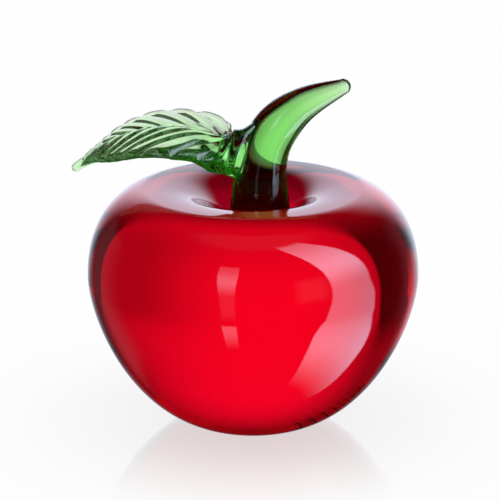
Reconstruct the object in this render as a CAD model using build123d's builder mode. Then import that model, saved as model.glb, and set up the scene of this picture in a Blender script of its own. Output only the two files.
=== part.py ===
# Art glass apple: a solid red glass body, a solid green glass stem set hot into the dimple,
# and a ribbed green glass leaf set hot onto the stem. Millimetres, +Z up, base on Z = 0.
from build123d import *
from math import cos, pi, radians, sin
import os

os.makedirs("parts", exist_ok=True)

# Apple body: a turned form with a ground flat below, a broad crest and a well for the stem above.
BODY_DIAMETER = 80.0
EQUATOR_HEIGHT = 37.1
CREST_HEIGHT = 58.5
CREST_DIAMETER = 52.0
BASE_DIAMETER = 26.0
THROAT_DIAMETER = 21.2
THROAT_DEPTH = 4.5
WELL_DEPTH = 12.0

# How far each curve of the body runs straight on before it bends.
BASE_PULL = 19.0
BASE_ANGLE = 14.0
FLANK_PULL = 8.8
SHOULDER_PULL = 16.6
CREST_PULL = 3.3
SAUCER_PULL = 6.2
THROAT_PULL = 2.2
WELL_PULL = 4.0
FLOOR_PULL = 1.0

# Stem: a tapered gather that stands in the dimple and bends to the right.
STEM_OFFSET = 1.7
STEM_FOOT_RADIUS = 7.3
STEM_TIP_RADIUS = 1.9
STEM_STRAIGHT = 9.5
STEM_KNEE = (2.65, 24.9)
STEM_ARM = (10.0, 32.4)
STEM_REACH = (19.6, 36.8)
STEM_SHARES = (0.18, 0.37, 0.60, 0.79, 0.92)
STEM_RADII = (6.8, 6.0, 5.5, 4.0, 2.75)
SEAT_MARGIN = 0.4

# Leaf: a blade that arches out from the stem and droops to its tip.
STEM_LEAF_SHARE = 0.39
LEAF_FORWARD = 1.5
LEAF_TURN = 8.0
LEAF_LINE = ((1.0, -3.4), (5.0, 2.4), (9.5, 6.3), (16.5, 8.7), (24.0, 9.3), (31.0, 7.8), (38.0, 4.2), (46.2, -2.0))
LEAF_WIDTH = 21.2
LEAF_THICKNESS = 3.0
LEAF_TIP_RADIUS = 1.3
LEAF_ROLL = 24.0
LEAF_CUP = 0.3
STALK_RADIUS = 3.7
STALK_SHARE = 0.10

# Ribs pressed into the blade, in pairs that sweep from the midrib towards the tip.
RIB_PAIRS = 9
RIB_RADIUS = 0.8
RIB_END_RADIUS = 1.0
RIB_FIRST_SHARE = 0.18
RIB_LAST_SHARE = 0.80
RIB_SWEEP_SHARE = 0.11

body_radius = BODY_DIAMETER / 2
base_radius = BASE_DIAMETER / 2
crest_radius = CREST_DIAMETER / 2
throat_radius = THROAT_DIAMETER / 2
throat_height = CREST_HEIGHT - THROAT_DEPTH
seat_height = CREST_HEIGHT - WELL_DEPTH
seat_radius = STEM_FOOT_RADIUS + STEM_OFFSET + SEAT_MARGIN
base_rise = radians(BASE_ANGLE)

with BuildPart() as apple_body:
    with BuildSketch(Plane.XZ) as body_half:
        with BuildLine() as body_outline:
            Line((0, 0), (base_radius, 0))
            Bezier(
                (base_radius, 0),
                (base_radius + BASE_PULL * cos(base_rise), BASE_PULL * sin(base_rise)),
                (body_radius, EQUATOR_HEIGHT - FLANK_PULL),
                (body_radius, EQUATOR_HEIGHT),
            )
            Bezier(
                (body_radius, EQUATOR_HEIGHT),
                (body_radius, EQUATOR_HEIGHT + SHOULDER_PULL),
                (crest_radius + CREST_PULL, CREST_HEIGHT),
                (crest_radius, CREST_HEIGHT),
            )
            Bezier(
                (crest_radius, CREST_HEIGHT),
                (crest_radius - SAUCER_PULL, CREST_HEIGHT),
                (throat_radius, throat_height + THROAT_PULL),
                (throat_radius, throat_height),
            )
            Bezier(
                (throat_radius, throat_height),
                (throat_radius, throat_height - WELL_PULL),
                (seat_radius + FLOOR_PULL, seat_height),
                (seat_radius, seat_height),
            )
            Line((seat_radius, seat_height), (0, seat_height))
            Line((0, seat_height), (0, 0))
        make_face()
    revolve(axis=Axis.Z)

with BuildLine(Plane.XZ) as stem_line:
    Spline(
        (STEM_OFFSET, seat_height),
        (STEM_OFFSET, seat_height + STEM_STRAIGHT),
        (STEM_OFFSET + STEM_KNEE[0], seat_height + STEM_KNEE[1]),
        (STEM_OFFSET + STEM_ARM[0], seat_height + STEM_ARM[1]),
        (STEM_OFFSET + STEM_REACH[0], seat_height + STEM_REACH[1]),
        tangents=((0, 1), (0.92, 0.39)),
    )
stem_path = stem_line.line

with BuildPart() as stem:
    for share, radius in ((0.0, STEM_FOOT_RADIUS), *zip(STEM_SHARES, STEM_RADII), (1.0, STEM_TIP_RADIUS)):
        with BuildSketch(Plane(origin=stem_path @ share, z_dir=stem_path % share)):
            Circle(radius)
    loft()
    with Locations(Plane(origin=stem_path @ 1.0, z_dir=stem_path % 1.0)):
        Sphere(STEM_TIP_RADIUS, arc_size1=0)

turn = radians(LEAF_TURN)
leaf_out = Vector(-cos(turn), sin(turn), 0)
leaf_across = Vector(sin(turn), cos(turn), 0)
leaf_root = stem_path @ STEM_LEAF_SHARE - Vector(0, LEAF_FORWARD, 0)

with BuildLine(Plane(origin=leaf_root, x_dir=leaf_out, z_dir=leaf_across)) as midrib_line:
    Spline(*LEAF_LINE)
midrib = midrib_line.line


def blade_half_width(share):
    """Half the width of the blade at a share of the midrib: broad near the stem, pointed at the tip."""
    swell = sin(pi * share ** 0.75)
    return max(LEAF_WIDTH / 2 * swell ** 0.8, 0.7 * LEAF_TIP_RADIUS)


def blade_half_thickness(share):
    """Half the thickness of the glass, which thins from the midrib's root to the tip."""
    return LEAF_THICKNESS / 2 * (1.4 - 0.8 * share)


def section_plane(share):
    """Plane across the midrib: its X points to the far edge, its Y points up."""
    return Plane(origin=midrib @ share, x_dir=leaf_across, z_dir=-(midrib % share))


def blade_point(share, side, lift):
    """Place on the rolled and cupped blade: side runs from -1 to 1, lift is the height above its middle."""
    half_width = blade_half_width(share)
    across = half_width * side
    up = lift - LEAF_CUP * half_width * side ** 2
    roll = radians(LEAF_ROLL)
    return (across * cos(roll) - up * sin(roll), across * sin(roll) + up * cos(roll))


def blade_outline(share, steps=12):
    """Closed lens outline of the blade at a share of the midrib."""
    points = []
    for step in range(steps):
        angle = 2 * pi * step / steps
        points.append(blade_point(share, cos(angle), blade_half_thickness(share) * sin(angle)))
    return points


def rib_place(share, side):
    """Place on the upper face of the blade where a rib's middle runs."""
    lift = blade_half_thickness(share) * (1 - side ** 2) ** 0.5
    return section_plane(share).from_local_coords(blade_point(share, side, lift))


with BuildPart() as leaf:
    for share in (0.0, STALK_SHARE):
        with BuildSketch(section_plane(share)):
            Circle(STALK_RADIUS)
    for share in (0.18, 0.28, 0.42, 0.56, 0.70, 0.84, 0.94, 1.0):
        with BuildSketch(section_plane(share)):
            with BuildLine():
                Spline(*blade_outline(share), periodic=True)
            make_face()
    loft()
    with Locations(midrib @ 1.0):
        Sphere(LEAF_TIP_RADIUS)
    ribs = []
    for pair in range(RIB_PAIRS):
        start = RIB_FIRST_SHARE + (RIB_LAST_SHARE - RIB_FIRST_SHARE) * pair / (RIB_PAIRS - 1)
        for hand in (-1, 1):
            with BuildLine() as rib_line:
                ThreePointArc(
                    rib_place(start, hand * 0.12),
                    rib_place(start + RIB_SWEEP_SHARE * 0.4, hand * 0.55),
                    rib_place(start + RIB_SWEEP_SHARE, hand * 0.92),
                )
            with BuildSketch(Plane(origin=rib_line.line @ 0, z_dir=rib_line.line % 0)):
                Circle(RIB_RADIUS)
            ribs.append(sweep(path=rib_line.line, mode=Mode.PRIVATE))
            with Locations(rib_line.line @ 1):
                ribs.append(Sphere(RIB_END_RADIUS, mode=Mode.PRIVATE))
    add(ribs)
    add(stem.part, mode=Mode.SUBTRACT)

apple_body.part.label = "apple_body"
stem.part.label = "stem"
leaf.part.label = "leaf"

export_step(apple_body.part, "parts/apple_body.step")
export_step(stem.part, "parts/stem.step")
export_step(leaf.part, "parts/leaf.step")
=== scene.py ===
import math
import bpy
import numpy as np
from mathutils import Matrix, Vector


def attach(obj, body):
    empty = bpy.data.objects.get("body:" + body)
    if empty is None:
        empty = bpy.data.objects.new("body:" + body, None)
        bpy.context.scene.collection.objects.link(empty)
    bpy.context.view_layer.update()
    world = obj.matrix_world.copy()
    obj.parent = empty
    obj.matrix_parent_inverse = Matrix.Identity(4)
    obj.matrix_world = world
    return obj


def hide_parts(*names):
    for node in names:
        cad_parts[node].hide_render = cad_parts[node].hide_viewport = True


# Art glass apple in clear red and green glass, on a white studio floor. Shapes are worked out in millimetres
# and become metres when a mesh is made. +Z is up, the photo's side is -Y, and the leaf points to -X.
# A place along the stem or the leaf is a share of its length: 0 at its root, 1 at its tip.
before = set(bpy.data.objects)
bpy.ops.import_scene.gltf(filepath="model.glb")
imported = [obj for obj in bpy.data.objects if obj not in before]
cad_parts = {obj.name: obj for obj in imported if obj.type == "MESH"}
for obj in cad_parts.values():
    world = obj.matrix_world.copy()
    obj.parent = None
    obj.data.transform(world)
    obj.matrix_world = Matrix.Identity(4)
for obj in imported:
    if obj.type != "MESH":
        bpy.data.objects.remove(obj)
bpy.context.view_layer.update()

MM = 0.001
rad = math.radians


# Curves

LINE_STEPS = 2000


def hermite(t, start, start_slope, end, end_slope):
    """Cubic from start to end as t runs from 0 to 1, with a set slope at each end."""
    return (
        (2 * t**3 - 3 * t**2 + 1) * start
        + (t**3 - 2 * t**2 + t) * start_slope
        + (3 * t**2 - 2 * t**3) * end
        + (t**3 - t**2) * end_slope
    )


def hermite_rate(t, start, start_slope, end, end_slope):
    """How fast that cubic runs at t."""
    return (
        (6 * t**2 - 6 * t) * start
        + (3 * t**2 - 4 * t + 1) * start_slope
        + (6 * t - 6 * t**2) * end
        + (3 * t**2 - 2 * t) * end_slope
    )


def bezier(t, start, leave, arrive, end):
    """Place at t on a cubic curve; leave and arrive are its handles, measured from its two ends."""
    return (
        (1 - t) ** 3 * start
        + 3 * (1 - t) ** 2 * t * (start + leave)
        + 3 * (1 - t) * t**2 * (end + arrive)
        + t**3 * end
    )


def curve(start, leave, arrive, end, count):
    """Points along a cubic curve in a plane, without its last one."""
    t = np.linspace(0, 1, count, endpoint=False)[:, None]
    return bezier(t, *(np.array(p, float) for p in (start, leave, arrive, end)))


class Line:
    """Smooth line through points in a plane, read by share of its length.

    Its ends may have set directions.
    """

    def __init__(self, points, start=None, end=None):
        points = np.array(points, float)
        gaps = np.linalg.norm(np.diff(points, axis=0), axis=1)
        last = len(points) - 1
        factors = np.zeros((last + 1, last + 1))
        sums = np.zeros_like(points)
        for i in range(1, last):
            before, after = gaps[i - 1], gaps[i]
            factors[i, i - 1:i + 2] = after, 2 * (before + after), before
            rise_before = (points[i] - points[i - 1]) / before
            rise_after = (points[i + 1] - points[i]) / after
            sums[i] = 3 * (after * rise_before + before * rise_after)
        for row, other, gap, way in ((0, 1, gaps[0], start), (last, last - 1, gaps[-1], end)):
            if way is None:
                factors[row, row] = 2
                factors[row, other] = 1
                sums[row] = 3 * (points[max(row, other)] - points[min(row, other)]) / gap
            else:
                factors[row, row] = 1
                sums[row] = np.array(way, float) / np.linalg.norm(way)
        self.points = points
        self.slopes = np.linalg.solve(factors, sums)
        self.knots = np.concatenate([[0], np.cumsum(gaps)])
        self.fine = np.linspace(0, self.knots[-1], LINE_STEPS)
        track, _ = self.at_knot(self.fine)
        run = np.concatenate([[0], np.cumsum(np.linalg.norm(np.diff(track, axis=0), axis=1))])
        self.length = run[-1]
        self.run = run / self.length

    def at_knot(self, u):
        """Points and directions at values of the knots."""
        i = np.clip(np.searchsorted(self.knots, u, side="right") - 1, 0, len(self.knots) - 2)
        gap = (self.knots[i + 1] - self.knots[i])[:, None]
        t = (u - self.knots[i])[:, None] / gap
        ends = self.points[i], self.slopes[i] * gap, self.points[i + 1], self.slopes[i + 1] * gap
        return hermite(t, *ends), hermite_rate(t, *ends) / gap

    def at(self, share):
        """Points and unit directions at shares of the length."""
        points, along = self.at_knot(np.interp(np.atleast_1d(share), self.run, self.fine))
        return points, along / np.linalg.norm(along, axis=1)[:, None]


def eased(share, places, values):
    """Smooth curve through values at places, which never overshoots them."""
    x, y = np.array(places, float), np.array(values, float)
    gaps = np.diff(x)
    rates = np.diff(y) / gaps
    slopes = np.zeros_like(y)
    slopes[0], slopes[-1] = rates[0], rates[-1]
    for i in range(1, len(x) - 1):
        if rates[i - 1] * rates[i] > 0:
            before, after = 2 * gaps[i] + gaps[i - 1], gaps[i] + 2 * gaps[i - 1]
            slopes[i] = (before + after) / (before / rates[i - 1] + after / rates[i])
    s = np.clip(np.atleast_1d(share), x[0], x[-1])
    i = np.clip(np.searchsorted(x, s, side="right") - 1, 0, len(x) - 2)
    return hermite((s - x[i]) / gaps[i], y[i], gaps[i] * slopes[i], y[i + 1], gaps[i] * slopes[i + 1])


# Meshes

def rings_mesh(name, rings, first, last, material):
    """Closed piece of rings of points in millimetres, with one point to close each end."""
    rings = np.array(rings)
    count, around = rings.shape[:2]
    points = np.vstack([rings.reshape(-1, 3), [first], [last]]) * MM
    last_ring, first_cap, last_cap = (count - 1) * around, count * around, count * around + 1
    faces = []
    for start in range(0, last_ring, around):
        for j in range(around):
            k = (j + 1) % around
            faces.append((start + j, start + k, start + around + k, start + around + j))
    for j in range(around):
        k = (j + 1) % around
        faces.append((first_cap, k, j))
        faces.append((last_cap, last_ring + j, last_ring + k))
    corners = [(face[0], face[i], face[i + 1]) for face in faces for i in range(1, len(face) - 1)]
    a, b, c = points[np.array(corners)].transpose(1, 0, 2)
    inside_out = np.sum(a * np.cross(b, c)) < 0
    if inside_out:
        faces = [tuple(reversed(face)) for face in faces]
    mesh = bpy.data.meshes.new(name)
    mesh.from_pydata(points.tolist(), [], faces)
    mesh.validate()
    mesh.update()
    for polygon in mesh.polygons:
        polygon.use_smooth = True
    mesh.materials.append(material)
    piece = bpy.data.objects.new(name, mesh)
    bpy.context.scene.collection.objects.link(piece)
    return piece


# Node trees

class Nodes:
    """Short ways to write a node tree. Sockets and plain numbers may stand for each other."""

    def __init__(self, tree):
        self.tree = tree

    def add(self, kind, **values):
        node = self.tree.nodes.new(kind)
        for key, value in values.items():
            setattr(node, key, value)
        return node

    def put(self, socket, value):
        if isinstance(value, bpy.types.NodeSocket):
            self.tree.links.new(value, socket)
        else:
            socket.default_value = value

    def maths(self, what, a, b=0.0):
        node = self.add("ShaderNodeMath", operation=what)
        self.put(node.inputs[0], a)
        self.put(node.inputs[1], b)
        return node.outputs[0]

    def times(self, *values):
        total = values[0]
        for value in values[1:]:
            total = self.maths("MULTIPLY", total, value)
        return total

    def plus(self, *values):
        total = values[0]
        for value in values[1:]:
            total = self.maths("ADD", total, value)
        return total

    def minus(self, a, b):
        return self.maths("SUBTRACT", a, b)

    def share(self, a, b):
        return self.maths("DIVIDE", a, b)

    def ramp(self, value, low, high, low_out=0.0, high_out=1.0):
        """Soft step from low_out at low to high_out at high, level beyond them."""
        node = self.add("ShaderNodeMapRange", interpolation_type="SMOOTHSTEP", clamp=True)
        for socket, item in zip(node.inputs[:5], (value, low, high, low_out, high_out)):
            self.put(socket, item)
        return node.outputs[0]

    def step(self, angle, low, high, low_out=0.0, high_out=1.0):
        """Soft step of an angle, between two values in degrees."""
        return self.ramp(angle, rad(low), rad(high), low_out, high_out)

    def band(self, angle, low, high, soft):
        """Soft-edged band of an angle, in degrees."""
        over = self.step(angle, low - soft, low + soft)
        under = self.step(angle, high + soft, high - soft)
        return self.times(over, under)

    def choose(self, factor, no, yes):
        node = self.add("ShaderNodeMix", data_type="FLOAT")
        self.put(node.inputs["Factor"], factor)
        self.put(node.inputs["A"], no)
        self.put(node.inputs["B"], yes)
        return node.outputs["Result"]

    def both(self, one, other):
        """Sum of two shaders."""
        node = self.add("ShaderNodeAddShader")
        self.put(node.inputs[0], one)
        self.put(node.inputs[1], other)
        return node.outputs[0]


# Glass

GLASS_IOR = 1.5
NOISE_SCALE, NOISE_DETAIL = 45, 1
# Heights between which the stem's surface tint runs from red at its foot to its own pale green.
FOOT_LOW, FOOT_HIGH = 52.0, 64.0
# Numbers of the colour sockets of a Mix node.
COLOUR_A, COLOUR_B, COLOUR_OUT = 6, 7, 2


def glass(name, surface, tint, density, ripple):
    """Clear glass, coloured a little at its surface and for the rest by what it absorbs along the way.

    Its faces are very slightly uneven, as hand-worked glass is; ripple is their height in millimetres.
    """
    made = bpy.data.materials.new(name)
    made.use_nodes = True
    n = Nodes(made.node_tree)
    shader = made.node_tree.nodes["Principled BSDF"]
    shader.inputs["Base Color"].default_value = (*surface, 1)
    shader.inputs["Roughness"].default_value = 0
    shader.inputs["IOR"].default_value = GLASS_IOR
    shader.inputs["Transmission Weight"].default_value = 1
    depth = n.add("ShaderNodeVolumeAbsorption")
    depth.inputs["Color"].default_value = (*tint, 1)
    depth.inputs["Density"].default_value = density
    n.put(made.node_tree.nodes["Material Output"].inputs["Volume"], depth.outputs["Volume"])
    place = n.add("ShaderNodeTexCoord")
    uneven = n.add("ShaderNodeTexNoise")
    uneven.inputs["Scale"].default_value = NOISE_SCALE
    uneven.inputs["Detail"].default_value = NOISE_DETAIL
    n.put(uneven.inputs["Vector"], place.outputs["Object"])
    bump = n.add("ShaderNodeBump")
    bump.inputs["Distance"].default_value = ripple * MM
    n.put(bump.inputs["Height"], uneven.outputs["Fac"])
    n.put(shader.inputs["Normal"], bump.outputs["Normal"])
    return made


def redden_foot(made, foot):
    """Lets the surface's tint run over into the colour of the foot towards the bottom of the piece."""
    n = Nodes(made.node_tree)
    surface = made.node_tree.nodes["Principled BSDF"].inputs["Base Color"]
    place = n.add("ShaderNodeTexCoord")
    parts = n.add("ShaderNodeSeparateXYZ")
    n.put(parts.inputs[0], place.outputs["Object"])
    blend = n.add("ShaderNodeMix", data_type="RGBA")
    n.put(blend.inputs["Factor"], n.ramp(parts.outputs["Z"], FOOT_LOW * MM, FOOT_HIGH * MM))
    blend.inputs[COLOUR_A].default_value = (*foot, 1)
    blend.inputs[COLOUR_B].default_value = surface.default_value
    n.put(surface, blend.outputs[COLOUR_OUT])


red_glass = glass("red_glass", (1.0, 0.002, 0.07), (0.95, 0.2, 0.2), 27, 0.25)
green_glass = glass("green_glass", (0.88, 0.975, 0.84), (0.24, 0.845, 0.024), 155, 0.15)
redden_foot(green_glass, (0.8, 0.08, 0.1))
leaf_glass = glass("leaf_glass", (0.96, 0.995, 0.94), (0.18, 0.85, 0.02), 150, 0.1)


# Apple body: a turned form, whose well leans over to the stem's axis near its floor

BODY_RADIUS, EQUATOR = 40.0, 37.1
CREST_RADIUS, CREST = 26.0, 58.5
BASE_RADIUS = 13.0
BOWL_RADIUS, BOWL = 8.8, 50.4
SEAT_RADIUS, SEAT = 8.0, 46.5
HOLE_DROP = 1.2
STEM_OFFSET = 1.7
# How far each curve of the body runs straight on before it bends.
BASE_PULL, BASE_ANGLE = 19.0, rad(14)
FLANK_PULL, SHOULDER_PULL = 8.8, 16.6
CREST_PULL, SAUCER_PULL = 3.3, 8.6
TRUMPET_PULL = (2.2, 6.8)
BOWL_PULL, HOLE_PULL = (-0.4, -0.6), (0, 0.6)
WALL_PULL, FLOOR_PULL = (0, -0.8), (0, 1.0)
# The smallest ring round the middle of the base and of the well's floor.
MIDDLE_RADIUS = 0.4
BASE_RINGS, FLOOR_RINGS, BODY_SIDES = 14, 12, 256
# How late on its way down the well leans over.
LEAN_POWER = 4


def body_profile():
    """Half outline of the body as radius and height, from under its middle round to the well's floor."""
    base, belly, crest = (BASE_RADIUS, 0), (BODY_RADIUS, EQUATOR), (CREST_RADIUS, CREST)
    bowl, hole, seat = (BOWL_RADIUS, BOWL), (SEAT_RADIUS, BOWL - HOLE_DROP), (SEAT_RADIUS, SEAT)
    base_pull = (BASE_PULL * math.cos(BASE_ANGLE), BASE_PULL * math.sin(BASE_ANGLE))
    under = np.linspace(MIDDLE_RADIUS, BASE_RADIUS, BASE_RINGS, endpoint=False)
    floor = np.linspace(SEAT_RADIUS, MIDDLE_RADIUS, FLOOR_RINGS)
    return np.vstack([
        np.stack([under, np.zeros_like(under)], 1),
        curve(base, base_pull, (0, -FLANK_PULL), belly, 100),
        curve(belly, (0, SHOULDER_PULL), (CREST_PULL, 0), crest, 90),
        curve(crest, (-SAUCER_PULL, 0), TRUMPET_PULL, bowl, 110),
        curve(bowl, BOWL_PULL, HOLE_PULL, hole, 12),
        curve(hole, WALL_PULL, FLOOR_PULL, seat, 12),
        np.stack([floor, np.full_like(floor, SEAT)], 1),
    ])


def body_rings():
    turns = np.linspace(0, 2 * np.pi, BODY_SIDES, endpoint=False)
    rings = []
    for radius, height in body_profile():
        inward = np.clip((CREST_RADIUS - radius) / (CREST_RADIUS - BOWL_RADIUS), 0, 1)
        in_well = height >= SEAT
        lean = STEM_OFFSET * inward ** LEAN_POWER if in_well else 0
        x, y = radius * np.cos(turns) + lean, radius * np.sin(turns)
        rings.append(np.stack([x, y, np.full_like(turns, height)], 1))
    return rings


apple = rings_mesh("apple_body_glass", body_rings(), (0, 0, 0), (STEM_OFFSET, 0, SEAT), red_glass)
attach(apple, "root")
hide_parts("apple_body")


# Stem: a tapered gather that stands in the well and bends to the right

STEM_STRAIGHT = (0, 9.5)
STEM_KNEE = (2.65, 24.9)
STEM_ARM = (10.0, 32.4)
STEM_REACH = (19.6, 36.8)
STEM_START, STEM_END = (0, 1), (0.92, 0.39)
STEM_SHARES = (0, 0.18, 0.37, 0.60, 0.79, 0.92, 1.0)
STEM_RADII = (7.75, 7.05, 6.05, 5.5, 4.0, 2.75, 1.9)
STEM_SIDES, STEM_RINGS, TIP_RINGS = 128, 150, 18
# The rings of the flat foot, as parts of its radius.
FOOT_PARTS = np.linspace(0.1, 0.97, 8)
# Fused pieces stand this far apart, so that no two faces lie in one place.
GAP = 0.03

stem_marks = ((0, 0), STEM_STRAIGHT, STEM_KNEE, STEM_ARM, STEM_REACH)
stem_line = Line([(STEM_OFFSET + x, SEAT + z) for x, z in stem_marks], STEM_START, STEM_END)


def stem_radius(share):
    return eased(share, STEM_SHARES, STEM_RADII)


def stem_sections():
    """Middle, direction and radius of each ring: a flat foot, the stem, and a round tip."""
    shares = np.linspace(0, 1, STEM_RINGS)
    points, ways = stem_line.at(shares)
    radii = stem_radius(shares)
    sections = [(points[0], ways[0], radii[0] * part) for part in FOOT_PARTS]
    sections += list(zip(points, ways, radii))
    for angle in np.linspace(0, np.pi / 2, TIP_RINGS)[1:-1]:
        middle = points[-1] + ways[-1] * radii[-1] * math.sin(angle)
        sections.append((middle, ways[-1], radii[-1] * math.cos(angle)))
    end = points[-1] + ways[-1] * radii[-1]
    return sections, points[0], end


def stem_mesh():
    around = np.linspace(0, 2 * np.pi, STEM_SIDES, endpoint=False)
    sections, foot, end = stem_sections()
    rings = []
    for middle, way, radius in sections:
        out = radius * np.cos(around)
        x, y, z = middle[0] - out * way[1], -radius * np.sin(around), middle[1] + out * way[0]
        rings.append(np.stack([x, y, z + GAP], 1))
    return rings, (foot[0], 0, foot[1] + GAP), (end[0], 0, end[1] + GAP)


stem = rings_mesh("stem_glass", *stem_mesh(), green_glass)
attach(stem, "root")
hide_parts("stem")


# Leaf: a folded blade on a thick stalk, ribbed on its top face; its far half lies away from the viewer

LEAF_TURN = rad(8)
LEAF_SHARE, LEAF_FORWARD = 0.39, 1.5
LEAF_MARKS = (
    (1.0, 3.0), (3.25, 2.9), (6.9, 2.75), (10.1, 3.6), (13.6, 5.4), (17.1, 6.6),
    (20.6, 7.15), (24.0, 7.2), (31.0, 5.9), (36.3, 3.75), (41.6, 0.4), (46.2, -3.0),
)
# The stalk's first free ring, the place where the blade has its full form, and where the tip begins to close.
CONTACT, BLADE_START, TIP = 0.125, 0.20, 0.975
# How much wider the stalk's foot spreads on the stem, and how far its flare keeps its direction.
FLARE, FLARE_PULL = 0.3, 0.45
# How far the keel lies on the viewer's side of the midrib, its half widths above and below the blade, and how
# many times higher it stands above.
KEEL_ASIDE, KEEL_ABOVE, KEEL_BELOW, KEEL_RISE = 1.2, 4.0, 6.5, 1.3
# Grooves between the ribs: places along the midrib, and where the same grooves come near the edge.
FAR_ROOTS = (-0.25, -0.10, 0.02, 0.125, 0.217, 0.335, 0.49, 0.59, 0.68, 0.77, 0.86)
FAR_ENDS = (-0.12, 0.06, 0.196, 0.325, 0.447, 0.58, 0.68, 0.76, 0.82, 0.88, 0.94)
NEAR_ROOTS = (-0.40, -0.20, -0.03, 0.10, 0.20, 0.31, 0.43, 0.55, 0.655, 0.74, 0.81, 0.87)
NEAR_ENDS = (-0.05, 0.12, 0.26, 0.41, 0.58, 0.675, 0.735, 0.785, 0.83, 0.87, 0.91, 0.95)
# Sides at which a far groove comes to its end and runs no further, and how much a near groove bends.
FAR_END_SIDE, FAR_LAST_SIDE, NEAR_BEND = 0.8, 0.95, 0.5
# Heights of the ribs, the pitch from which they are full, and the part of their rise that lies level with the
# face. A near rib's crest lies this part of the way between two grooves.
FAR_DEPTH, NEAR_DEPTH, FULL_PITCH, MEAN_RISE = 0.85, 1.15, 2.1, 0.6
NEAR_CREST = 0.55
# Teeth along the edges: their heights, and how they bend and fade from the edge inwards.
FAR_TOOTH, NEAR_TOOTH = 0.4, 0.7
TOOTH_BEND, TOOTH_MEAN, TOOTH_FADE = 1.3, 0.45, 6
# Rings of the leaf: across the foot, along its flare, and along the midrib in three runs.
STALK_PARTS = np.linspace(0.06, 0.94, 12)
FLARE_PARTS = np.linspace(0, 1, 24, endpoint=False)
STATIONS = np.concatenate([
    np.linspace(CONTACT, 0.25, 90, endpoint=False),
    np.linspace(0.25, 0.94, 420, endpoint=False),
    np.linspace(0.94, 0.9999, 70),
])
# How far the last point stands out from the last ring's middle.
TIP_POINT = 0.02
# Places along the stem at which the leaf's foot looks for its flank.
LOWER_STEM = np.linspace(0, 0.7, 200)

leaf_out = np.array([-math.cos(LEAF_TURN), math.sin(LEAF_TURN), 0])
leaf_across = np.array([math.sin(LEAF_TURN), math.cos(LEAF_TURN), 0])
sky = np.array([0, 0, 1.0])
leaf_line = Line(LEAF_MARKS)

# Each ring runs from the far edge over the top face to the near edge and back below: sides from 1 to -1.
# Its points crowd a little towards the edges.
FACE_POINTS, CROWDING = 181, 0.45
even = np.linspace(-1, 1, FACE_POINTS)
spread = (1 - CROWDING) * even + CROWDING * np.sin(even * np.pi / 2)
SIDES = np.concatenate([spread[::-1], spread[1:-1]])
FACES = np.concatenate([np.ones(FACE_POINTS), -np.ones(FACE_POINTS - 2)])
OUTWARD = np.abs(SIDES)
FAR = SIDES > 0
TOP = FACES > 0


def closing(s):
    """Rounds the tip off."""
    least = 0.02
    past = np.clip(np.atleast_1d(s) - TIP, 0, 1) / (1 - TIP)
    return np.sqrt(np.clip(1 - past ** 2, least ** 2, 1))


def far_width(s):
    places = (0, 0.125, 0.145, 0.17, 0.215, 0.30, 0.375, 0.48, 0.60, 0.69, 0.79, 0.88, 0.95, 1.0)
    widths = (4.2, 4.2, 5.6, 8.4, 9.8, 10.6, 10.8, 10.5, 9.5, 8.0, 5.5, 3.2, 1.9, 1.5)
    return eased(s, places, widths) * closing(s)


def near_width(s):
    places = (0, 0.125, 0.16, 0.19, 0.27, 0.42, 0.57, 0.73, 0.80, 0.86, 0.92, 0.96, 1.0)
    widths = (5.0, 5.0, 6.5, 7.5, 9.5, 11.0, 10.3, 8.0, 6.2, 4.2, 2.4, 1.8, 1.5)
    return eased(s, places, widths) * closing(s)


def far_slope(s):
    places = (0, 0.125, 0.16, 0.22, 0.30, 0.375, 0.48, 0.69, 0.80, 0.90, 1.0)
    degrees = (14, 17, 21, 22, 18, 15, 14, 14, 12, 7, 0)
    return np.tan(np.radians(eased(s, places, degrees)))


def near_slope(s):
    places = (0, 0.125, 0.19, 0.30, 0.42, 0.57, 0.73, 0.80, 0.86, 1.0)
    degrees = (8, 10, 14, 16, 16.5, 16.5, 18, 16, 9, 0)
    return np.tan(np.radians(eased(s, places, degrees)))


def blade_thickness(s):
    """Half the thickness of the blade beside its keel."""
    return eased(s, (0, 0.2, 0.5, 0.8, 0.95, 1.0), (1.3, 1.15, 0.95, 0.9, 1.1, 1.1)) * closing(s)


def keel(s):
    """How much the stalk stands out from the blade's faces where it runs on into the midrib."""
    places = (0, 0.125, 0.17, 0.22, 0.30, 0.50, 0.80, 1.0)
    return eased(s, places, (3.9, 3.8, 2.7, 1.6, 0.8, 0.3, 0.1, 0.0))


def near_rounding(s):
    """How broad the rounding of the near edge's top face is."""
    return eased(s, (0, 0.2, 0.35, 0.5, 0.8, 1.0), (3.0, 3.0, 2.4, 1.5, 1.1, 1.1))


def toward_viewer(s):
    """How far the stalk is set round to the stem's front."""
    return eased(s, (0, 0.125, 0.20, 0.32, 1.0), (-2.0, -2.0, -1.2, 0, 0))


def blade_share(s):
    """How far the stalk's oval has changed over to the blade's form."""
    return eased(s, (0, CONTACT, BLADE_START, 1), (0, 0, 1, 1))


def rib_share(s):
    """How strong the ribs are: none on the stalk and none on the tip."""
    return eased(s, (0, 0.15, 0.22, 0.86, 0.95, 1), (0, 0, 1, 1, 0, 0))


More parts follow.
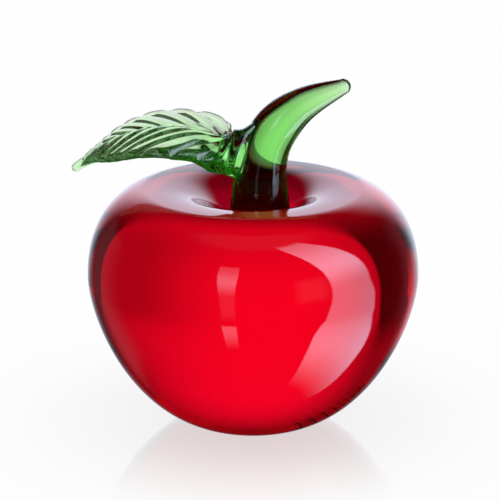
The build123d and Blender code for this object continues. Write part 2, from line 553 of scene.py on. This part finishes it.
def rib_parts(stations):
    """Share of the way from one groove to the next, and the ribs' pitch, for each point of each ring."""
    parts, pitches = np.zeros((2, len(stations), len(SIDES)))
    far_wide, near_wide = far_width(stations), near_width(stations)
    for i, side in enumerate(SIDES):
        if side > 0:
            roots, ends, wide = np.array(FAR_ROOTS), np.array(FAR_ENDS), far_wide
            sweep = (ends - roots) / FAR_END_SIDE
            run = min(side, FAR_LAST_SIDE)
        else:
            roots, ends, wide = np.array(NEAR_ROOTS), np.array(NEAR_ENDS), near_wide
            sweep = ends - roots
            run = -side * (1 + NEAR_BEND + NEAR_BEND * side)
        places = roots + sweep * run
        between = (places[1:] + places[:-1]) / 2
        spacing = leaf_line.length * np.interp(stations, between, np.diff(places))
        slant = leaf_line.length * np.interp(stations, places, sweep) / wide
        parts[:, i] = np.interp(stations, places, np.arange(len(places))) % 1.0
        pitches[:, i] = spacing / np.sqrt(1 + slant ** 2)
    return parts, pitches


def far_ridge(part):
    """Rise from a groove to a rib's broad crest and down to the next groove, on the far half."""
    softness = 0.1
    off_groove = np.sqrt((2 * np.minimum(part, 1 - part)) ** 2 + softness ** 2) - softness
    return 1 - np.clip(1 - off_groove, 0, 1) ** 4


def near_ridge(part):
    """The same on the near half, where the crests are broader and lie nearer to the next groove."""
    off_crest = np.where(part < NEAR_CREST, 1 - part / NEAR_CREST, (part - NEAR_CREST) / (1 - NEAR_CREST))
    return 1 - np.clip(off_crest, 0, 1) ** 5


def edge_rounding(s, wide, thick):
    """Share of its thickness that the blade still has as its faces close round the edges."""
    most_round, least_flat = 0.8, 0.02
    rounding = np.where(TOP & ~FAR, np.minimum(near_rounding(s), most_round * wide), thick)
    flat = np.maximum(wide - rounding, least_flat * wide)
    past = np.clip(OUTWARD * wide - flat, 0, None) / (wide - flat)
    return np.sqrt(np.clip(1 - past ** 2, 0, 1))


def face_height(s, wide, thick, slab):
    """Height of the faces over the blade's middle: an oval stalk that runs out into a slab with a keel."""
    round_power, flat_power = 0.5, 0.28
    far_taper, near_taper = 0.5, 0.15
    oval = np.clip(1 - SIDES ** 2, 0, 1) ** np.where(TOP, round_power, flat_power)
    taper = np.where(FAR, 1 - far_taper * OUTWARD ** 1.5, 1 - near_taper * OUTWARD)
    off_keel = np.abs(SIDES * wide + KEEL_ASIDE)
    shape = np.where(TOP, np.exp(-((off_keel / KEEL_ABOVE) ** 2)), np.exp(-((off_keel / KEEL_BELOW) ** 4)))
    core = keel(s) * np.where(TOP, KEEL_RISE, 1.0)
    blade = blade_share(s)
    return FACES * ((1 - blade) * (thick + core) * oval + blade * slab * (thick * taper + core * shape))


def rib_height(s, part, pitch, wide, slab):
    """Relief of the top face. The ribs are shallower where they are close, and fade beside the midrib."""
    ridge = np.where(FAR, far_ridge(part), near_ridge(part))
    midrib_loss, midrib_width = 0.75, 0.7
    off_midrib = 1 - midrib_loss * np.exp(-((SIDES * wide / midrib_width) ** 2))
    depth = np.where(TOP, np.where(FAR, FAR_DEPTH, NEAR_DEPTH), 0) * np.clip(pitch / FULL_PITCH, 0, 1)
    return depth * (ridge - MEAN_RISE) * rib_share(s) * slab * off_midrib


def fold_height(s):
    """How far the two halves rise and fall from the midrib, with a rounded crease between them."""
    rise, fall = far_slope(s) * far_width(s), near_slope(s) * near_width(s)
    softness, stalk_fold = 0.05, 0.15
    crease = np.sqrt(SIDES ** 2 + softness ** 2) - softness
    folded = stalk_fold + (1 - stalk_fold) * blade_share(s)
    return (crease * (rise - fall) / 2 + SIDES * (rise + fall) / 2) * folded


def leaf_ring(s, part, pitch):
    """Ring of points round the leaf at a share of its midrib, its middle, and the midrib's direction."""
    (out, up), (out_way, up_way) = (values[0] for values in leaf_line.at(s))
    middle = leaf_root + leaf_out * out + sky * up + leaf_across * toward_viewer(s)
    forward = leaf_out * out_way + sky * up_way
    wide = np.where(FAR, far_width(s), near_width(s))
    thick = blade_thickness(s)
    slab = edge_rounding(s, wide, thick)
    tooth = (part ** TOOTH_BEND - TOOTH_MEAN) * rib_share(s) * OUTWARD ** TOOTH_FADE
    tooth *= np.where(FAR, FAR_TOOTH, NEAR_TOOTH)
    across = SIDES * (wide + tooth)
    height = fold_height(s) + face_height(s, wide, thick, slab) + rib_height(s, part, pitch, wide, slab)
    ring = middle + np.outer(across, leaf_across) + np.outer(height, np.cross(leaf_across, forward))
    return ring, middle, forward


def onto_stem(points):
    """Points slid level with the floor until they all but touch the stem's flank."""
    shares = LOWER_STEM
    marks, _ = stem_line.at(shares)
    heights = points[:, 2]
    axis = np.interp(heights, marks[:, 1] + GAP, marks[:, 0])
    radius = np.interp(heights, marks[:, 1] + GAP, stem_radius(shares)) + GAP
    on_axis = np.stack([axis, np.zeros_like(axis), heights], 1)
    away = points - on_axis
    return on_axis + away / np.linalg.norm(away, axis=1)[:, None] * radius[:, None]


def leaf_mesh():
    """Rings of the leaf, the point in its foot and the point at its tip."""
    parts, pitches = rib_parts(STATIONS)
    rim, middle, forward = leaf_ring(STATIONS[0], parts[0], pitches[0])
    wide_rim = middle + (1 + FLARE) * (rim - middle)
    touch = onto_stem(wide_rim)
    leave = (wide_rim - touch) / np.linalg.norm(wide_rim - touch, axis=1)[:, None]
    pull = FLARE_PULL * np.linalg.norm(rim - touch, axis=1)[:, None]
    rings = [onto_stem(middle + part * (wide_rim - middle)) for part in STALK_PARTS]
    for t in FLARE_PARTS:
        rings.append(bezier(t, touch, leave * pull, -forward * pull, rim))
    rings += [leaf_ring(*station)[0] for station in zip(STATIONS, parts, pitches)]
    (out, up), (out_way, up_way) = (values[0] for values in leaf_line.at(1.0))
    tip = leaf_root + leaf_out * (out + TIP_POINT * out_way) + sky * (up + TIP_POINT * up_way)
    return rings, onto_stem(middle[None])[0], tip


root_x, root_z = stem_line.at(LEAF_SHARE)[0][0]
leaf_root = np.array([root_x, -LEAF_FORWARD, root_z])
leaf = rings_mesh("leaf_glass", *leaf_mesh(), leaf_glass)
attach(leaf, "root")
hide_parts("leaf")


# Camera

ELEVATION, DISTANCE, ORBIT_HEIGHT = rad(17.5), 600.0, 39.2
AIM = (-0.726, 1.03, 42.48)
LENS, SENSOR, CLIP_START = 178.4, 36, 0.01

stand = Vector((0, -DISTANCE * math.cos(ELEVATION), ORBIT_HEIGHT + DISTANCE * math.sin(ELEVATION)))
camera_data = bpy.data.cameras.new("camera")
camera_data.lens = LENS
camera_data.sensor_width = SENSOR
camera_data.clip_start = CLIP_START
camera = bpy.data.objects.new("camera", camera_data)
camera.location = stand * MM
camera.rotation_euler = (Vector(AIM) - stand).to_track_quat("-Z", "Y").to_euler()
bpy.context.scene.collection.objects.link(camera)
bpy.context.scene.camera = camera


# Studio: one world, in which each kind of ray finds its own part of the room. Angles are given in degrees.
# from_back and from_front run to the right, from straight behind the apple and from the viewer's side.

world = bpy.data.worlds.new("studio")
world.use_nodes = True
bpy.context.scene.world = world
n = Nodes(world.node_tree)
ray = n.add("ShaderNodeLightPath").outputs
look = n.add("ShaderNodeTexCoord")
split = n.add("ShaderNodeSeparateXYZ")
n.put(split.inputs[0], look.outputs["Generated"])
x, y, z = split.outputs
from_back = n.maths("ARCTAN2", x, y)
from_front = n.maths("ARCTAN2", x, n.times(y, -1.0))
turned = n.maths("ABSOLUTE", from_back)
height = n.maths("ARCSINE", z)
through = ray["Is Transmission Ray"]

# A ray that goes straight through one piece comes out at depth 3. The floor's mirror adds one to the depth
# and is known by the clear cover over the floor.
by_floor = n.maths("GREATER_THAN", ray["Transparent Depth"], 0.5)
depth = n.minus(ray["Ray Depth"], by_floor)
straight = n.maths("LESS_THAN", depth, 3.5)
bounced = n.minus(1.0, straight)
# What the camera, the floor and the lights' own samples find is plain white.
plain = n.minus(1.0, n.maths("MAXIMUM", through, ray["Is Singular Ray"]))


def white_sweep():
    """The lit paper sweep behind the apple, with rounded lower corners and soft edges."""
    middle, half_width, drop, squareness = 9.5, 47.5, 38, 2.5
    aside = n.maths("ABSOLUTE", n.share(n.plus(from_back, -rad(middle)), rad(half_width)))
    below = n.share(n.maths("MAXIMUM", n.times(height, -1.0), 0.0), rad(drop))
    corner = n.plus(n.maths("POWER", aside, squareness), n.maths("POWER", below, squareness))
    soft = n.plus(n.step(height, 0, 14, 0.05, 0.4), n.step(height, -24, -38, 0.0, 0.35))
    return n.ramp(n.share(n.minus(1.0, corner), soft), -1.0, 1.0)


def sweep_middle():
    """The brightest part of the sweep, which reaches further to the right above the level."""
    reach = n.step(height, -8, 6, rad(32), rad(56))
    to_right = n.ramp(n.share(from_back, reach), 1.0, 0.0)
    return n.times(n.step(from_back, -45, -8), to_right, n.step(height, 54, 16), n.step(height, -45, -9))


def backdrop():
    """The sweep and the dim wall around it, which is paler at the upper left."""
    dark_level, wall_level, sweep_level, middle_level, gain = 0.05, 0.28, 0.38, 0.58, 1.1
    sweep = white_sweep()
    upper_left = n.times(n.step(height, 2, 20), n.step(from_back, 20, -30), n.step(turned, 120, 80))
    wall = n.plus(dark_level, n.times(upper_left, n.minus(1.0, sweep), wall_level))
    lit = n.times(sweep, n.plus(sweep_level, n.times(sweep_middle(), middle_level)))
    return n.times(n.plus(wall, lit), gain)


def near_floor():
    """The floor close to the apple with the apple's shadow painted on it: dim, palest some way out, darker
    straight below, and weaker at the sides.
    """
    # Painted shadow: the apple's own shade on the floor, dim overall and darkest straight under it.
    pale, dark = n.times(n.step(height, -22, -42), 0.25), n.times(n.step(height, -46, -58), -0.13)
    return n.times(n.plus(pale, dark), n.step(turned, 70, 95, 1.0, 0.3))


def rim_light():
    """Soft light from both sides, which the glass gathers along its rims; it widens towards the viewer."""
    wider = n.step(turned, 78, 118)
    low, high = n.plus(rad(-5), n.times(wider, rad(-20))), n.plus(rad(26), n.times(wider, rad(40)))
    soft = n.plus(rad(8), n.times(wider, rad(4)))
    over = n.ramp(n.share(n.minus(height, low), soft), -1.0, 1.0)
    under = n.ramp(n.share(n.minus(high, height), soft), -1.0, 1.0)
    sides = n.plus(n.step(from_back, -61.5, -64.5), n.step(from_back, 82, 104))
    here = n.maths("MAXIMUM", straight, n.step(turned, 85.5, 82.5))
    return n.times(sides, over, under, here, n.plus(0.75, n.times(wider, 0.1)))


def seen_through():
    """What a ray finds after it has gone through the glass. Rays that bounced in it bring less light."""
    loss = n.times(n.ramp(depth, 3.3, 4.0, 1.0, 0.27), n.ramp(depth, 4.0, 9.0, 1.0, 0.4))
    heights = n.times(n.step(height, -14, 6), n.step(height, 78, 58))
    beside = n.times(bounced, n.step(turned, 64, 80), n.plus(0.06, n.times(heights, 0.38)))
    return n.plus(n.times(n.plus(backdrop(), near_floor(), rim_light()), loss), beside)


def mirrored_walls():
    """The same room as the outside of the glass mirrors it, without its lamps."""
    from_middle = n.maths("ABSOLUTE", n.plus(from_back, rad(-3)))
    wall = n.times(n.step(from_middle, 40, 12), n.step(height, 42, 22), n.step(height, -38, 4))
    left_panel = n.times(n.band(from_front, -135, -120, 22), n.band(height, -42, 16, 5))
    right_glow = n.times(n.band(from_front, 31, 52, 5), n.band(height, -2, 18, 4))
    right_panel = n.times(n.band(from_front, 128, 152, 14), n.band(height, -25, 20, 8))
    ceiling = n.times(n.step(height, 58, 70), n.step(turned, 50, 100))
    levels = ((wall, 1.6), (left_panel, 0.2), (right_glow, 0.24), (right_panel, 0.1), (ceiling, 0.13))
    return n.plus(0.006, *(n.times(part, level) for part, level in levels))


def above_squared(unit):
    """Square of the height above the level, in units of so many degrees."""
    part = n.share(n.maths("MAXIMUM", height, 0.0), rad(unit))
    return n.times(part, part)


def between(left, right, soft_left, soft_right):
    """Soft-edged stretch of the room between two directions from the front."""
    inner = n.step(n.minus(from_front, left), -soft_left, soft_left)
    outer = n.step(n.minus(right, from_front), -soft_right, soft_right)
    return n.times(inner, outer)


def large_box():
    """Large soft box on the right, curved in the mirror image, with its image in the floor below."""
    left = n.plus(rad(55), n.times(n.step(height, 0, -40), rad(-7)), n.times(above_squared(62), rad(-22)))
    right = n.plus(
        rad(88),
        n.times(n.step(height, 3, -10), rad(3.3)),
        n.times(n.step(height, -20, -44), rad(12)),
        n.times(above_squared(50), rad(-13.5)),
    )
    hot = n.times(n.step(height, 2, 27), n.step(height, 66, 26), 3.6)
    power = n.plus(2.6, hot, n.times(n.step(height, -12, -38), 1.4))
    heights = n.times(n.step(height, 68, 62), n.step(height, -70, -40))
    return n.times(between(left, right, 0.9, 1.4), heights, power)


def narrow_box():
    """Narrow soft box in front, to the left of the camera, with its image in the floor below."""
    left = n.plus(rad(-21.8), n.times(n.step(height, -15, 32), rad(-5)))
    right = n.plus(rad(-12.2), n.times(n.step(height, 10, 32), rad(1.5)))
    hot = n.times(n.step(height, 4, 21), n.step(height, 36, 19, 0.3, 1.0), 2.5)
    upper = n.times(n.plus(0.28, hot), n.step(height, 39.5, 36.5), n.step(height, -18, -8))
    lower = n.times(n.step(height, -48, -30), n.step(height, -19, -23), 1.8)
    return n.times(between(left, right, 0.7, 0.7), n.plus(upper, lower))


def background(colour, strength):
    node = n.add("ShaderNodeBackground")
    node.inputs["Color"].default_value = (*colour, 1)
    n.put(node.inputs["Strength"], strength)
    return node.outputs[0]


WHITE, COOL_WALLS, COOL_LAMPS = (1, 1, 1), (0.93, 1.0, 1.2), (0.85, 1.0, 1.3)
# The boxes are seen faintly through the glass too, but not their images in the floor.
BOXES_SEEN_THROUGH = 0.05

boxes = n.plus(large_box(), narrow_box())
faint_boxes = n.times(boxes, n.step(height, -4, 4), BOXES_SEEN_THROUGH)
inside = background(WHITE, n.choose(plain, n.times(through, seen_through()), 1.0))
walls = background(COOL_WALLS, n.choose(plain, n.choose(through, mirrored_walls(), 0.0), 0.0))
lamps = background(COOL_LAMPS, n.choose(plain, n.choose(through, boxes, faint_boxes), 0.0))
n.put(world.node_tree.nodes["World Output"].inputs["Surface"], n.both(inside, n.both(walls, lamps)))
world.node_tree.nodes.remove(world.node_tree.nodes["Background"])


# Floor: white and faintly glossy near the apple, under a clear cover that marks the rays it mirrors

FLOOR_HALF_SIDE = 3.0
COVER_DROP, FLOOR_DROP = 0.05, 0.1
FLOOR_GREY, FLOOR_GLOW = 0.12, 0.875
FLOOR_IOR, FLOOR_ROUGHNESS, MIRROR_GAIN = 1.45, 0.06, 1.9
# Distances from the middle, in metres, between which the mirror fades out and is whole.
MIRROR_END, MIRROR_WHOLE = 0.068, 0.018


def level_sheet(name, drop):
    """Level square sheet a little below the base, with an empty material."""
    side = FLOOR_HALF_SIDE
    mesh = bpy.data.meshes.new(name)
    corners = [(-side, -side, 0), (side, -side, 0), (side, side, 0), (-side, side, 0)]
    mesh.from_pydata(corners, [], [(0, 1, 2, 3)])
    sheet = bpy.data.objects.new(name, mesh)
    sheet.location.z = -drop * MM
    sheet.visible_transmission = False
    bpy.context.scene.collection.objects.link(sheet)
    made = bpy.data.materials.new(name + "_surface")
    made.use_nodes = True
    made.node_tree.nodes.remove(made.node_tree.nodes["Principled BSDF"])
    mesh.materials.append(made)
    return sheet, Nodes(made.node_tree), made.node_tree.nodes["Material Output"].inputs["Surface"]


cover, n, surface = level_sheet("floor_cover", COVER_DROP)
n.put(surface, n.add("ShaderNodeBsdfTransparent").outputs[0])

floor, n, surface = level_sheet("floor", FLOOR_DROP)
floor.visible_glossy = False
matt = n.add("ShaderNodeBsdfDiffuse")
matt.inputs["Color"].default_value = (FLOOR_GREY, FLOOR_GREY, FLOOR_GREY, 1)
glow = n.add("ShaderNodeEmission")
glow.inputs["Strength"].default_value = FLOOR_GLOW
gloss = n.add("ShaderNodeBsdfGlossy")
gloss.inputs["Roughness"].default_value = FLOOR_ROUGHNESS
fresnel = n.add("ShaderNodeFresnel")
fresnel.inputs["IOR"].default_value = FLOOR_IOR
place = n.add("ShaderNodeTexCoord")
reach = n.add("ShaderNodeVectorMath", operation="LENGTH")
n.put(reach.inputs[0], place.outputs["Object"])
fading = n.ramp(reach.outputs["Value"], MIRROR_END, MIRROR_WHOLE)
mixed = n.add("ShaderNodeMixShader")
n.put(mixed.inputs[0], n.times(fresnel.outputs[0], fading, MIRROR_GAIN))
n.put(mixed.inputs[1], n.both(matt.outputs[0], glow.outputs[0]))
n.put(mixed.inputs[2], gloss.outputs[0])
n.put(surface, mixed.outputs[0])


# Render settings that the glass needs

GLASS_BOUNCES = 32

bpy.context.scene.view_settings.view_transform = "Standard"
bpy.context.scene.cycles.max_bounces = GLASS_BOUNCES
bpy.context.scene.cycles.glossy_bounces = GLASS_BOUNCES
bpy.context.scene.cycles.transmission_bounces = GLASS_BOUNCES
